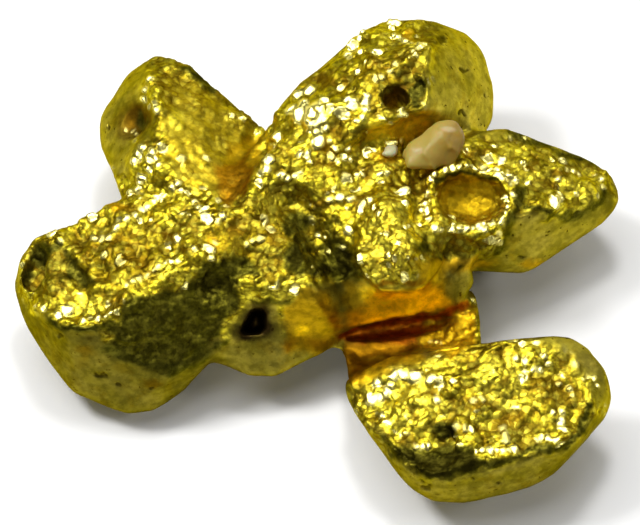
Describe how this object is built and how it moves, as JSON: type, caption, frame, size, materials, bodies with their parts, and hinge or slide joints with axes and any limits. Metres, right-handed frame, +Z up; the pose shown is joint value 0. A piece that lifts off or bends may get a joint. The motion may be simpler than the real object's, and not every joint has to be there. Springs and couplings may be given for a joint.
{
  "type": "gold crystal specimen",
  "caption": "Small natural cluster of waterworn gold crystals grown together, lying flat, with quartz caught in a notch.",
  "frame": {"origin": "on the surface it lies on, under the middle of its outline", "axes": "+Z up, away from the surface it lies on; +X along its longest way, towards the pointed crystal; -Y towards the flat-topped front crystal"},
  "size_m": [0.0202, 0.0166, 0.0068],
  "materials": {
    "gold": "native gold, sugary and sparkling on the etched faces, smooth and darker on the worn sides",
    "quartz_large": "cloudy pinkish cream quartz, water-worn",
    "quartz_small": "cloudy white quartz chip"
  },
  "bodies": {
    "root": {"gold_crystal_group": "gold", "quartz_grain_large": "quartz_large", "quartz_grain_small": "quartz_small"}
  },
  "joints": []
}
